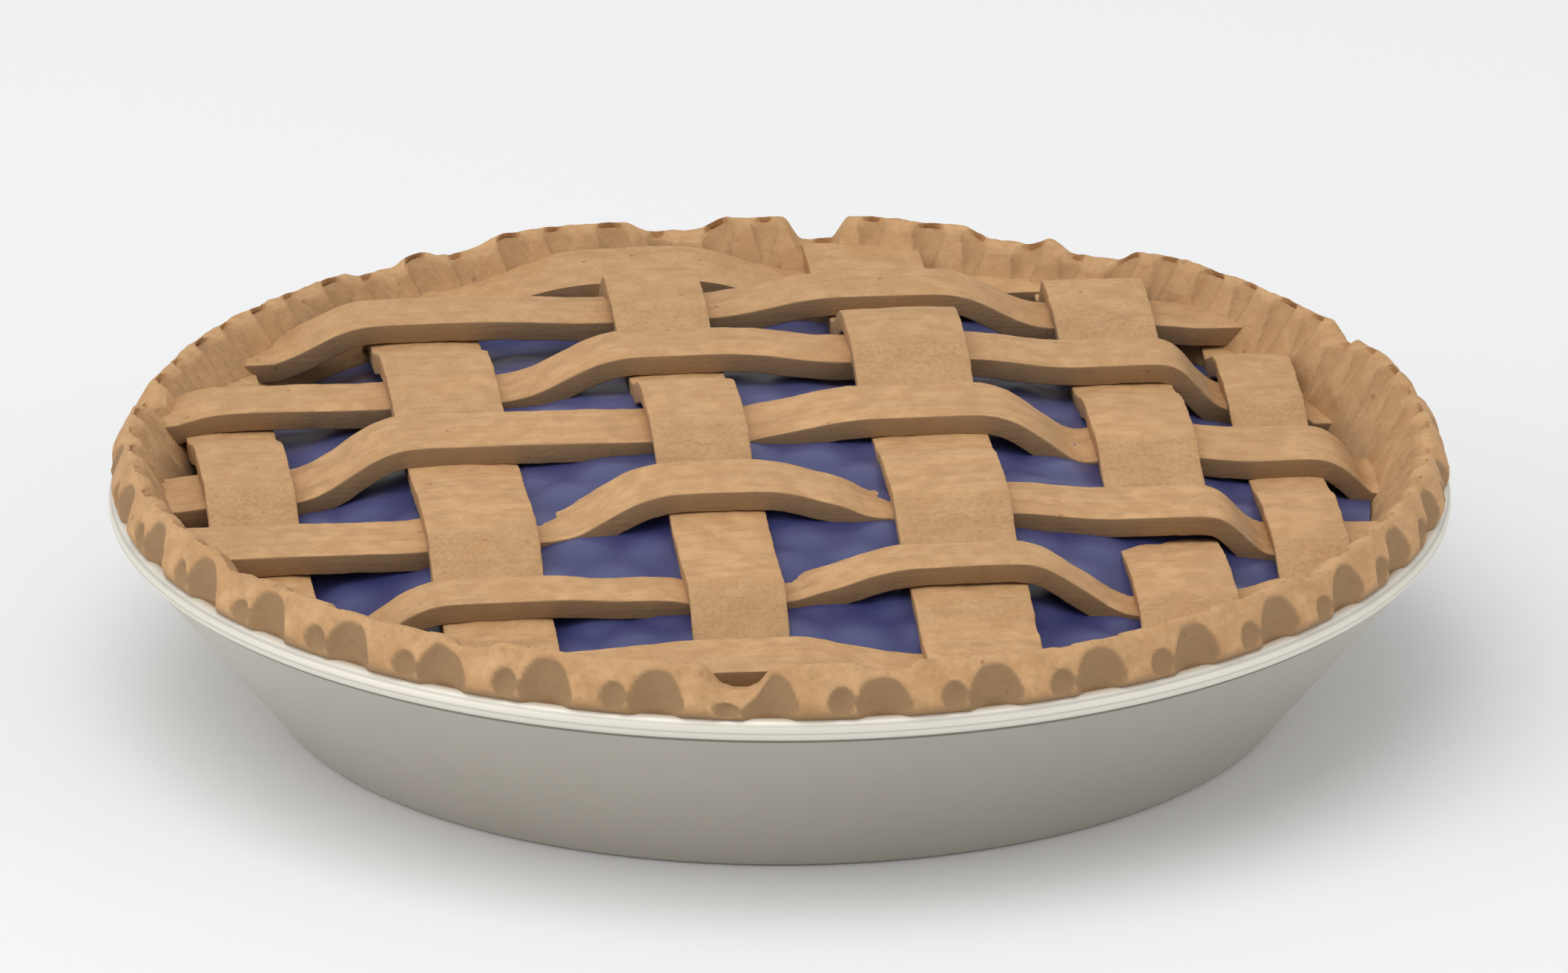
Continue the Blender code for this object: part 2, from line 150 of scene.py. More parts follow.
# How much painted shade darkens each part of the crust, and how baked it is, from 0 to 1. The painted
# shade of the inner wall ends part of the way over the heads of its grooves.
WALL_SHADE = 0.17
WALL_SHADE_END = 0.5
GROOVE_SHADE = 0.12
CREASE_SHADE = 0.55
NECK_SHADE = 0.9
MARK_SHADE = 0.78
UNDERSIDE_SHADE = 0.95
CROWN_BAKED = 0.35
GROOVE_BAKED = 0.15
MARK_BAKED = 0.2

# The soft lumps and the fine grit of baked pastry. On the crust they start at its lip.
LUMP_SMOOTHNESS = 0.9
LUMP_LAYER_RATIO = 2.0
LUMP_LAYERS = 3
CRUST_LUMP_SIZE = 7.0 * MM
CRUST_GRIT_SIZE = 2.2 * MM
STRIP_LUMP_SIZE = 6.0 * MM
STRIP_GRIT_SIZE = 1.9 * MM
LIP_FADE = 2.0 * MM

# Where the crust's edge dips: the clock angle, the half width in degrees, and the depth.
EDGE_DIPS = (
    (-33.0, 4.0, 1.4 * MM),
    (-24.0, 4.5, 1.8 * MM),
    (-3.5, 4.8, 2.2 * MM),
    (9.2, 3.0, 4.3 * MM),
    (27.0, 4.5, 2.1 * MM),
    (35.5, 5.0, 2.4 * MM),
    (67.3, 2.6, 2.2 * MM),
    (83.0, 2.0, 1.2 * MM),
    (97.5, 2.2, 1.3 * MM),
    (131.0, 3.0, 1.4 * MM),
    (176.5, 3.2, 1.7 * MM),
    (189.6, 3.3, 4.6 * MM),
    (214.0, 3.0, 1.5 * MM),
    (241.0, 3.4, 1.9 * MM),
    (263.0, 2.4, 1.2 * MM),
    (287.0, 3.0, 1.6 * MM),
)
EDGE_DIP_SHORE = 0.6

# The slow waves of the crust's edge: how many go round it, their depth, and where they start in radians.
EDGE_WAVES = ((5, 0.30 * MM, 0.4), (11, 0.22 * MM, 2.1))

# The filling is a low dome of gel with berries in it, fuller at the front left.
FILLING_TOP = 49.9 * MM
FILLING_RIM_HEIGHT = 34.4 * MM
FILLING_SPREAD = 86.0 * MM
FILLING_FALL = (FILLING_TOP - FILLING_RIM_HEIGHT) / (
    math.hypot(FILLING_EDGE_RADIUS, FILLING_SPREAD) - FILLING_SPREAD
)
FILLING_TILT_X = -0.0152
FILLING_TILT_Y = -0.0267
FILLING_RINGS = 88
FILLING_SEGMENTS = 380
FILLING_FOOT_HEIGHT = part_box("filling")[0][2]
FILLING_FOOT_RADIUS = 83.6 * MM
FILLING_GAP = 0.4 * MM
BERRY_PITCH = 13.5 * MM
BERRY_ROW_PITCH = BERRY_PITCH * math.sqrt(0.75)
BERRY_SCATTER = 2.0 * MM
BERRY_RISE = (-1.4 * MM, 0.2 * MM)
BERRY_SIZES = (0.86, 1.08)
BERRY_TILT = 0.9
BERRY_FLATNESS = 0.96
BERRY_MARGIN = 1.25
BERRY_SEGMENTS = 12
BERRY_RINGS = 8
GEL_LUMP_SIZE = 9.0 * MM
GEL_LUMP_DEPTH = 0.2 * MM
GEL_HUMP_NARROWNESS = 1.3
GEL_SHORE = 4.0 * MM

# The shape of one berry, in parts of its radius. Points stand round the small hollow on its top.
BERRY_TOP = 0.86
BERRY_SQUASH = 0.94
BLOSSOM_RADIUS = 0.30
BLOSSOM_DEPTH = 0.16
BLOSSOM_POINTS = 5
BLOSSOM_POINT_RISE = 0.05

# A strip that lies this close to the filling goes under in the gel.
SINK_FROM = 1.35 * MM
SINK_OVER = 0.35 * MM
SINK_DEPTH = 1.5 * MM

# Where a strip sags lower: the middle of the sag along the strip, its half length and its depth.
STRIP_DIPS = {
    "strip_h3": (-112.0 * MM, 14.0 * MM, 3.0 * MM),
    "strip_v2": (-60.0 * MM, 9.0 * MM, 0.8 * MM),
    "strip_v5": (-37.0 * MM, 17.0 * MM, 2.6 * MM),
    "strip_v6": (72.0 * MM, 22.0 * MM, 2.0 * MM),
}

# The ends of a strip go a little into the crust's wall, or are cut square well before it.
WALL_EMBED = 1.3 * MM
WALL_PASSES = 4
SQUARE_CUT_REACH = 6.0 * MM

# How a hand-cut strip strays sideways and sags, each kind of unevenness in its own lane of the noise,
# and its share of the dough's lumps.
STRAY_LENGTH = 14.0 * MM
STRAY_LANE = 1.7
FRAY_LENGTH = 3.0 * MM
FRAY_LANE = 3.1
FRAY_SHARE = 0.35
STRIP_SAG = 0.2 * MM
SAG_LENGTH = 22.0 * MM
SAG_LANE_WIDTH = 0.8
SAG_LANE = 4
STRIP_LUMPS = 0.6
STRIP_SMOOTHING = 9
STRIP_CROWN_SHARE = 0.4
STRIP_CROWN_POWER = 3
STRIP_EDGE_SEGMENTS = 3
STRIP_EDGE_ANGLE = math.radians(50)

# How much painted shade darkens the side faces of a strip, how baked its high places are, and the same mark
# on its front slopes.
SIDE_FACING = 0.92
SIDE_BLEND = 0.45
SIDE_SHADE_ACROSS = 0.95
SIDE_SHADE_ALONG = 0.45
HIGH_FROM = 4.0 * MM
HIGH_OVER = 5.0 * MM
HIGH_BAKED = 0.45
SLOPE_BLEND = 0.30
FRONT_SLOPE_SPECKLE = 0.8

ACROSS_STRIPS = sorted(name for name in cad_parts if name.startswith("strip_h"))
ALONG_STRIPS = sorted(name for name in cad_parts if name.startswith("strip_v"))

# Where a colour Mix node keeps its share, its two colours and its result.
MIX_SHARE = 0
MIX_FIRST = 6
MIX_SECOND = 7
MIX_RESULT = 2

# The stage: each light's name, place in metres, size in metres and power in watts.
FLOOR_RADIUS = 12.0
FLOOR_CORNERS = 96
LIGHT_TARGET = Vector((0, 0, 0.04))
LIGHTS = (
    ("Light above", (-0.5, -0.5, 2.3), 2.4, 30),
    ("Light from the left", (-2.4, -0.8, 1.0), 1.6, 13),
    ("Light from the right", (2.3, -1.2, 0.9), 1.6, 8),
)
ROOM_LIGHT = (0.97, 0.98, 1.0, 1.0)
ROOM_STRENGTH = 0.63


def length_property(name, description, default):
    return FloatProperty(name=name, description=description, default=default, unit="LENGTH")


class PieSizes(bpy.types.PropertyGroup):
    """The sizes that a baker would change."""

    strip_step: length_property("Strip step", "Length of one face along a strip", 1.2 * MM)
    strip_columns: IntProperty(name="Strip columns", description="Faces across a strip", default=14, min=6)
    strip_thickness: length_property("Strip thickness", "Thickness of the rolled pastry", 3.8 * MM)
    strip_round: length_property("Strip edge", "How far the cut edges of a strip are rounded", 0.30 * MM)
    strip_crown: length_property("Strip crown", "How far a strip puffs up along its middle", 0.30 * MM)
    strip_wander: length_property("Strip wander", "How far a hand-cut edge strays", 0.11 * MM)
    dough_lumps: length_property("Dough lumps", "Height of the soft lumps of baked pastry", 0.20 * MM)
    dough_grit: length_property("Dough grit", "Height of the fine lumps of baked pastry", 0.09 * MM)
    berry_radius: length_property("Berry radius", "Radius of a middling berry", 6.3 * MM)
    gel_depth: length_property("Gel depth", "How far the gel sinks between the berries", 1.0 * MM)


def colour_property(name, description, default):
    return FloatVectorProperty(name=name, description=description, default=default, size=3, subtype="COLOR")


class PieColours(bpy.types.PropertyGroup):
    """The colours of the pie, its tin and the floor."""

    golden: colour_property("Golden", "Baked pastry", (0.520, 0.292, 0.127))
    pale: colour_property("Pale", "Lightly baked pastry", (0.632, 0.374, 0.178))
    # This colour is also used for the painted shade on the pastry.
    brown_and_shade: colour_property("Brown", "Well baked pastry", (0.265, 0.163, 0.081))
    speck: colour_property("Speck", "The small dark specks of baked pastry", (0.230, 0.090, 0.042))
    skin: colour_property("Berry skin", "The skin of a cooked berry", (0.044, 0.050, 0.165))
    # This colour is also used for the painted sheen that lightens the gel towards the back.
    bloom_and_sheen: colour_property("Berry bloom", "The pale bloom on a berry", (0.104, 0.112, 0.250))
    juice: colour_property("Juice", "The gel between the berries", (0.033, 0.036, 0.130))
    metal: colour_property("Metal", "The satin metal of the tin", (0.645, 0.608, 0.548))
    stain: colour_property("Stain", "The soft stains on the metal", (0.520, 0.485, 0.425))
    turning: colour_property("Turning", "The fine turning lines of the metal", (0.450, 0.425, 0.380))
    # Painted highlight: the rolled rim is painted a bright cream, standing in for the light and the pastry
    # it reflects.
    bead: colour_property("Bead", "The bright rolled rim of the tin", (0.800, 0.760, 0.665))
    # Painted reflection: darker bands inside the painted highlight of the rolled rim.
    ring: colour_property("Ring", "The darker rings along the rolled rim", (0.420, 0.400, 0.355))
    # Painted shade: the dark band under the rolled rim.
    crease: colour_property("Crease", "The dark crease under the rolled rim", (0.120, 0.112, 0.100))
    floor: colour_property("Floor", "The pale floor", (0.845, 0.845, 0.842))
    floor_shade: colour_property("Floor shade", "The darker patches of the floor", (0.78, 0.78, 0.78))


class Field:
    """A number, colour or vector that varies over a surface, written as arithmetic."""

    def __init__(self, finish, socket):
        self.finish = finish
        self.socket = socket

    def maths(self, operation, *values, clamp=False):
        settings = {"operation": operation, "use_clamp": clamp}
        return self.finish.node("Math", settings, dict(enumerate(values)))

    def __add__(self, other):
        return self.maths("ADD", self, other)

    __radd__ = __add__

    def __sub__(self, other):
        return self.maths("SUBTRACT", self, other)

    def __rsub__(self, other):
        return self.maths("SUBTRACT", other, self)

    def __mul__(self, other):
        return self.maths("MULTIPLY", self, other)

    __rmul__ = __mul__

    def __pow__(self, power):
        return self.maths("POWER", self, power)

    def clamped(self):
        return self.maths("ADD", self, 0.0, clamp=True)

    def between(self, low, high):
        """0 below low, 1 above high, and smooth between them."""
        settings = {"interpolation_type": "SMOOTHSTEP"}
        return self.finish.node("MapRange", settings, {"Value": self, "From Min": low, "From Max": high})


class Finish:
    """One material and the nodes of its Principled shader."""

    def __init__(self, name):
        self.material = bpy.data.materials.new(name)
        self.material.use_nodes = True
        self.tree = self.material.node_tree
        self.shader = self.tree.nodes["Principled BSDF"]

    def feed(self, socket, value):
        if isinstance(value, Field):
            self.tree.links.new(value.socket, socket)
        elif isinstance(value, (int, float)) or len(value) == len(socket.default_value):
            socket.default_value = value
        else:
            socket.default_value = (*value, 1.0)

    def node(self, kind, settings=None, sockets=None, output=0):
        """Adds a node. Its settings are made first, then the values or links of its sockets."""
        made = self.tree.nodes.new("ShaderNode" + kind)
        for name, value in (settings or {}).items():
            setattr(made, name, value)
        for name, value in (sockets or {}).items():
            self.feed(made.inputs[name], value)
        return Field(self, made.outputs[output])

    def place(self):
        return self.node("TexCoord", output="Object")

    def stretched(self, vector, scale):
        return self.node("Mapping", {"vector_type": "TEXTURE"}, {"Vector": vector, "Scale": scale})

    def clouds(self, vector, size, detail=3.0, roughness=0.5):
        """Noise from 0 to 1 with lumps of about that size in metres."""
        return self.node(
            "TexNoise",
            {"noise_dimensions": "3D"},
            {"Vector": vector, "Scale": 1 / size, "Detail": detail, "Roughness": roughness},
        )

    def cells(self, vector, size):
        """How far a point is from the nearest of scattered spots, about that size apart in metres."""
        return self.node("TexVoronoi", {"feature": "F1"}, {"Vector": vector, "Scale": 1 / size}, "Distance")

    def stripes(self, along, size, detail, roughness=0.5):
        """Noise from 0 to 1 along one number only, with stripes of about that size in metres."""
        return self.node(
            "TexNoise",
            {"noise_dimensions": "1D"},
            {"W": along, "Scale": 1 / size, "Detail": detail, "Roughness": roughness},
        )

    def axis(self, vector, name):
        return self.node("SeparateXYZ", None, {"Vector": vector}, name)

    def mark(self, name):
        """A number that the mesh holds at each point."""
        return self.node("Attribute", {"attribute_name": name}, output="Fac")

    def mix(self, share, first, second):
        sockets = {MIX_SHARE: share, MIX_FIRST: first, MIX_SECOND: second}
        return self.node("Mix", {"data_type": "RGBA"}, sockets, MIX_RESULT)

    def paint(self, **sockets):
        """Feeds the shader's own sockets, such as base_color or roughness."""
        for name, value in sockets.items():
            self.feed(self.shader.inputs[name.replace("_", " ").title()], value)

    def raise_by(self, height, depth):
        """Bumps the surface by a height from 0 to 1, of so many metres."""
        bumped = self.node("Bump", None, {"Height": height, "Distance": depth, "Strength": 1.0})
        self.feed(self.shader.inputs["Normal"], bumped)


def pastry_finish(name, colours, streak):
    """Baked pastry. The streak says how much longer its grain is in X, Y and Z."""
    finish = Finish(name)
    place = finish.place()
    grain_place = finish.stretched(place, streak)
    blotches = finish.clouds(place, 26 * MM, detail=2.0)
    mottle = finish.clouds(place, 4.5 * MM, detail=5.0, roughness=0.6)
    grain = finish.clouds(grain_place, 1.1 * MM, detail=4.0, roughness=0.65)
    bands = finish.clouds(grain_place, 3.2 * MM, detail=2.0)
    crumb = finish.clouds(place, 0.8 * MM, detail=3.0, roughness=0.6)
    baked = finish.mark("baked")
    side = finish.mark("side")

    tone = finish.mix(mottle.between(0.35, 0.68), colours.golden, colours.pale)
    tone = finish.mix(grain.between(0.50, 0.76) * 0.34, tone, colours.brown_and_shade)
    tone = finish.mix(bands.between(0.48, 0.75) * 0.20, tone, colours.brown_and_shade)
    tone = finish.mix(baked * crumb.between(0.44, 0.64) * 0.34, tone, colours.brown_and_shade)
    tone = finish.mix(baked * (1 - crumb.between(0.34, 0.44)) * 0.30, tone, colours.pale)
    browning = (baked * 0.6 + blotches.between(0.45, 0.80) * 0.20) * mottle.between(0.20, 0.62)
    tone = finish.mix(browning.clamped() * 0.45, tone, colours.brown_and_shade)
    # Painted shade: the side mark darkens the pastry towards brown on strip side faces and on the crust's
    # wall, marks, neck and underside.
    tone = finish.mix((side * (0.74 + mottle * 0.44)).clamped(), tone, colours.brown_and_shade)

    spots = finish.cells(place, 4.2 * MM)
    chosen = finish.clouds(place, 7.0 * MM, detail=1.0).between(0.55, 0.66)
    specks = (1 - spots.between(0.05, 0.17)) * chosen
    tone = finish.mix(specks * 0.55, tone, colours.speck)
    finish.paint(base_color=tone, roughness=0.62 + mottle * 0.22)
    finish.shader.inputs["Specular IOR Level"].default_value = 0.35

    height = mottle * 0.35 + grain * 0.35 + crumb * 0.30
    finish.raise_by(height, 0.34 * MM)
    return finish.material


def berry_finish(name, colours):
    """The skin of a cooked berry, wet with juice, with some of its bloom left."""
    finish = Finish(name)
    place = finish.place()
    patches = finish.clouds(place, 5.0 * MM, detail=3.0)
    dots = finish.clouds(place, 0.8 * MM, detail=2.0)
    tint = finish.clouds(place, 17.0 * MM, detail=0.0)
    tone = finish.mix(patches.between(0.42, 0.70) * 0.55, colours.skin, colours.bloom_and_sheen)
    tone = finish.mix(tint.between(0.48, 0.60) * 0.30, tone, colours.juice)
    roughness = 0.30 + patches * 0.22
    finish.paint(base_color=tone, roughness=roughness, coat_weight=0.15, coat_roughness=0.15)
    finish.raise_by(dots, 0.06 * MM)
    return finish.material


def gel_finish(name, colours):
    """Berry juice that has set to a glossy gel, lighter where a berry lies under it."""
    finish = Finish(name)
    place = finish.place()
    swirl = finish.clouds(place, 9.0 * MM, detail=3.0)
    ripple = finish.clouds(place, 2.6 * MM, detail=2.0)
    berry = finish.mark("berry")
    tone = finish.mix(swirl.between(0.35, 0.70) * 0.45, colours.juice, colours.skin)
    tone = finish.mix(berry.between(0.10, 0.95) * 0.36, tone, colours.bloom_and_sheen)
    # Painted sheen: the gel is painted lighter towards the back, standing in for the pale room it would
    # reflect there.
    tone = finish.mix(finish.axis(place, "Y").between(-60 * MM, 80 * MM) * 0.75, tone, colours.bloom_and_sheen)
    finish.paint(base_color=tone, roughness=0.30 + swirl * 0.18)
    finish.raise_by(ripple, 0.07 * MM)
    return finish.material


def tin_finish(name, colours):
    """Satin metal with fine turning lines round it, a few soft stains and small scratches."""
    finish = Finish(name)
    place = finish.place()
    x, y, z = (finish.axis(place, name) for name in "XYZ")
    radius = (x * x + y * y) ** 0.5
    along_wall = radius + z
    lines = finish.stripes(along_wall, 0.35 * MM, detail=3.0, roughness=0.6)
    stains = finish.clouds(place, 45 * MM, detail=4.0, roughness=0.6)
    dust = finish.clouds(place, 1.2 * MM, detail=2.0)
    tone = finish.mix(stains.between(0.40, 0.75) * 0.25, colours.metal, colours.stain)
    tone = finish.mix(lines * 0.16, tone, colours.turning)
    on_bead = z.between(BEAD_HEIGHT - BEAD_RADIUS, BEAD_HEIGHT - 0.7 * BEAD_RADIUS)
    rings = finish.stripes(z - radius * 0.4, 1.1 * MM, detail=1.0)
    # Painted highlight: the rolled rim takes the bright cream colour.
    tone = finish.mix(on_bead, tone, colours.bead)
    # Painted reflection: darker bands along the rolled rim.
    tone = finish.mix(on_bead * rings.between(0.50, 0.60) * 0.45, tone, colours.ring)
    # Painted shade: a dark band just under the rolled rim.
    crease = z.between(BEAD_HEIGHT - 1.35 * BEAD_RADIUS, BEAD_HEIGHT - 1.15 * BEAD_RADIUS) * (1 - on_bead)
    tone = finish.mix(crease * 0.7, tone, colours.crease)
    roughness = 0.36 + stains * 0.14 + lines * 0.08 + on_bead * 0.06
    finish.paint(base_color=tone, roughness=roughness, metallic=1 - on_bead * 0.55)
    finish.raise_by(lines * 0.7 + dust * 0.3, 0.02 * MM)
    return finish.material


def ease(share):
    """Rises from 0 to 1 with a level start and end."""
    share = min(1.0, max(0.0, share))
    return share * share * (3 - 2 * share)


def lumps(point, size, depth):
    """A soft relief: noise with lumps of that size in metres, up to about that high."""
    return depth * noise.fractal(
        point / size, LUMP_SMOOTHNESS, LUMP_LAYER_RATIO, LUMP_LAYERS, noise_basis="BLENDER"
    )


def smooth_curve(points, steps):
    """Points on a curve through all of these, with the ends doubled: so many steps to a stretch."""
    ends = [points[0], *points, points[-1]]
    curve = []
    for before, start, end, after in zip(ends, ends[1:], ends[2:], ends[3:]):
        for step in range(steps):
            t = step / steps
            pair = []
            for a, b, c, d in zip(before, start, end, after):
                bend = (2 * a - 5 * b + 4 * c - d) * t * t + (3 * b - 3 * c + d - a) * t**3
                pair.append(b + 0.5 * ((c - a) * t + bend))
            curve.append(tuple(pair))
    return [*curve, points[-1]]


def new_piece(add, name, **settings):
    """Adds a primitive while nothing else is selected."""
    bpy.ops.object.select_all(action="DESELECT")
    add(**settings)
    piece = bpy.context.active_object
    piece.name = name
    piece.data.name = name
    return piece


def edit(piece):
    bpy.context.view_layer.objects.active = piece
    bpy.ops.object.mode_set(mode="EDIT")


def turned(name, profile, segments):
    """Spins a profile of (radius, height) round the middle. It starts and ends on the axis."""
    piece = new_piece(bpy.ops.mesh.primitive_plane_add, name, size=MM)
    edit(piece)
    bpy.ops.mesh.select_all(action="SELECT")
    bpy.ops.mesh.merge(type="CENTER")
    here = Vector((0, 0, 0))
    for number, (radius, height) in enumerate(profile):
        there = Vector((radius, 0, height))
        if number:
            bpy.ops.mesh.extrude_vertices_move(TRANSFORM_OT_translate={"value": there - here})
        else:
            bpy.ops.transform.translate(value=there - here)
        here = there
    bpy.ops.mesh.select_all(action="SELECT")
    bpy.ops.mesh.spin(steps=segments, angle=math.tau, center=(0, 0, 0), axis=(0, 0, 1))
    bpy.ops.mesh.select_all(action="SELECT")
    bpy.ops.mesh.remove_doubles(threshold=MERGE_DISTANCE)
    bpy.ops.mesh.normals_make_consistent(inside=False)
    bpy.ops.object.mode_set(mode="OBJECT")
    return piece


def store_mark(piece, name, values):
    piece.data.attributes.new(name, "FLOAT", "POINT").data.foreach_set("value", values)


def apply_modifier(piece, kind, **settings):
    """Adds a modifier, sets it and applies it."""
    bpy.ops.object.select_all(action="DESELECT")
    piece.select_set(True)
    bpy.context.view_layer.objects.active = piece
    made = piece.modifiers.new(kind.title(), kind)
    for name, value in settings.items():
        setattr(made, name, value)
    bpy.ops.object.modifier_apply(modifier=made.name)


def dress(piece, material, slot, *nodes):
    """Gives a finished piece its material, and lets it stand for its nodes."""
    piece.data.materials.clear()
    piece.data.materials.append(material)
    bpy.ops.object.select_all(action="DESELECT")
    piece.select_set(True)
    bpy.context.view_layer.objects.active = piece
    bpy.ops.object.shade_smooth_by_angle(angle=SMOOTH_ANGLE)
    if nodes:
        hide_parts(*nodes)
    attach(piece, "root")


def once(name, make, *values):
    """A material that is made the first time it is asked for."""
    return bpy.data.materials.get(name) or make(name, *values)


def arc(middle_radius, middle_height, radius, start, end, steps):
    """Points on an arc of a profile, from one angle to the other."""
    turns = [math.radians(start + (end - start) * step / steps) for step in range(steps + 1)]
    return [(middle_radius + radius * math.cos(t), middle_height + radius * math.sin(t)) for t in turns]


class PIE_OT_tin(bpy.types.Operator):
    """Turn the thin sheet tin with its rolled rim"""

    bl_idname = "pie.tin"
    bl_label = "Tin"

    def execute(self, context):
        wall_angle = math.degrees(math.atan2(1, TIN_LEAN))
        corner_reach = BASE_CORNER * math.tan(math.radians(wall_angle / 2))
        middle = (BASE_RADIUS - corner_reach, BASE_CORNER)
        corner = arc(*middle, BASE_CORNER, -90, wall_angle - 90, CORNER_STEPS_OUTSIDE)
        inside = arc(*middle, BASE_CORNER - SHEET, wall_angle - 90, -90, CORNER_STEPS_INSIDE)
        bead = arc(RIM_RADIUS - BEAD_RADIUS, BEAD_HEIGHT, BEAD_RADIUS, BEAD_START, BEAD_END, BEAD_STEPS)
        tuck = bead[0][0] - BEAD_TUCK_IN, bead[0][1] - BEAD_TUCK_DOWN
        profile = [(0, 0), *corner, tuck, *bead, *inside, (0, SHEET)]
        tin = turned("tin_dressed", profile, TIN_SEGMENTS)
        colours = context.scene.pie_colours
        dress(tin, once("Satin tin dressed", tin_finish, colours), "tin", "tin")
        return {"FINISHED"}


def clock_of(point):
    return math.atan2(point.x, point.y)


def beside(clock, place):
    """How far round the rim a point is from the nearest pinch mark of its kind."""
    turn = (math.degrees(clock) - place + PINCH_PITCH / 2) % PINCH_PITCH - PINCH_PITCH / 2
    return math.radians(turn) * RIM_RADIUS


def edge_drop(clock):
    """How far the crust's edge lies below its usual height at a clock angle."""
    drop = sum(depth * math.sin(count * clock + start) for count, depth, start in EDGE_WAVES)
    for place, half_width, depth in EDGE_DIPS:
        offset = abs((math.degrees(clock) - place + 180) % 360 - 180)
        drop += depth * ease((half_width - offset) / (EDGE_DIP_SHORE * half_width))
    return drop


def wall_radius(height):
    """The radius of the crust's smooth inner wall."""
    return FILLING_EDGE_RADIUS + WALL_LEAN * (height - FILLING_EDGE_HEIGHT)


def edge_line(distance):
    """The darkened line along the edge of a finger's mark, part browning and part painted shade: 1 on the
    edge itself.
    """
    return ease(1 - abs(distance) / CREASE_WIDTH)


def groove(clock, mark, share, on_band):
    """How deep a finger groove is, from 0 to 1 in its middle, and its edge line. It tapers to its foot."""
    rise = (share - mark["foot"]) / (1 - mark["foot"])
    if rise <= 0 or on_band >= 1:
        return 0.0, 0.0
    half_width = mark["half_width"] * min(1.0, rise) ** GROOVE_TAPER * math.sqrt(1 - on_band**2)
    away = abs(beside(clock, mark["place"]))
    depth = max(0.0, 1 - (away / half_width) ** GROOVE_SHARPNESS)
    line = edge_line(away - half_width) * ease(rise / CREASE_FULL_AT)
    return depth * ease(rise / GROOVE_FULL_AT), line


def softly_less(value, limit, softness):
    """The smaller of two numbers, rounded where they meet."""
    share = min(1.0, max(0.0, 0.5 + 0.5 * (limit - value) / softness))
    return limit * (1 - share) + value * share - softness * share * (1 - share)


def press_crust(radius, height, clock):
    """The crust's relief: its new radius and height there, its painted shade and how baked it is."""
    if height <= NECK_FOOT_HEIGHT:
        return radius, height, 0.0, 0.0
    drop = edge_drop(clock)
    on_inner_face = radius <= min(CROWN_RADIUS + MERGE_DISTANCE, wall_radius(height) + INNER_FACE_DEPTH)
    if on_inner_face and height > FILLING_EDGE_HEIGHT:
        share = (height - FILLING_EDGE_HEIGHT) / (INNER_EDGE_HEIGHT - FILLING_EDGE_HEIGHT)
        on_band = max(0.0, (radius - INNER_EDGE_RADIUS) / GROOVE_HEAD)
        dent = 0.0
        line = 0.0
        for mark in (BROAD_INSIDE, SMALL_INSIDE):
            depth, beside_it = groove(clock, mark, min(1.0, share), on_band)
            dent = max(dent, depth * (1 - on_band))
            line = max(line, beside_it)
            radius += mark["depth"] * depth * (1 - GROOVE_HEAD_LOSS * on_band)
            height -= mark["depth"] * depth * on_band
        slide = drop * min(1.0, share)
        height -= slide
        radius -= WALL_LEAN * slide * (1 - on_band)
        side = 0.0
        if on_band < WALL_SHADE_END:
            side = max(WALL_SHADE + GROOVE_SHADE * dent, CREASE_SHADE * line * (1 - on_band))
        return radius, height, side, CROWN_BAKED * ease(on_band) + GROOVE_BAKED * dent
    if height <= LIP_HEIGHT - MERGE_DISTANCE:
        return radius, height, NECK_SHADE, 0.0
    broad = BROAD_CUT_RADIUS + beside(clock, BROAD_OUTSIDE) ** 2 / (2 * BROAD_FINGER_RADIUS)
    pressed = softly_less(radius, broad, CUT_SOFTNESS)
    dent = ease((radius - pressed) / FULL_DENT)
    away = math.hypot(beside(clock, SMALL_OUTSIDE), height - SMALL_HEIGHT) / SMALL_RADIUS
    hollow = max(0.0, 1 - away * away)
    pressed -= SMALL_DEPTH * hollow
    below_crown = ease(2 * (CROWN_HEIGHT - height) / (CROWN_HEIGHT - SHOULDER_HEIGHT) - 1)
    dent = max(dent, ease(hollow * SMALL_EDGE_STEEPNESS)) * below_crown
    underside = ease((OUTER_HEIGHT - height) / (OUTER_HEIGHT - LIP_HEIGHT))
    crest = ease((height - BROW_HEIGHT) / (CROWN_HEIGHT - BROW_HEIGHT))
    height -= drop * (height - LIP_HEIGHT) / (CROWN_HEIGHT - LIP_HEIGHT)
    side = max(MARK_SHADE * dent, UNDERSIDE_SHADE * underside)
    return pressed, height, side, CROWN_BAKED * crest * (1 - dent) + MARK_BAKED * dent


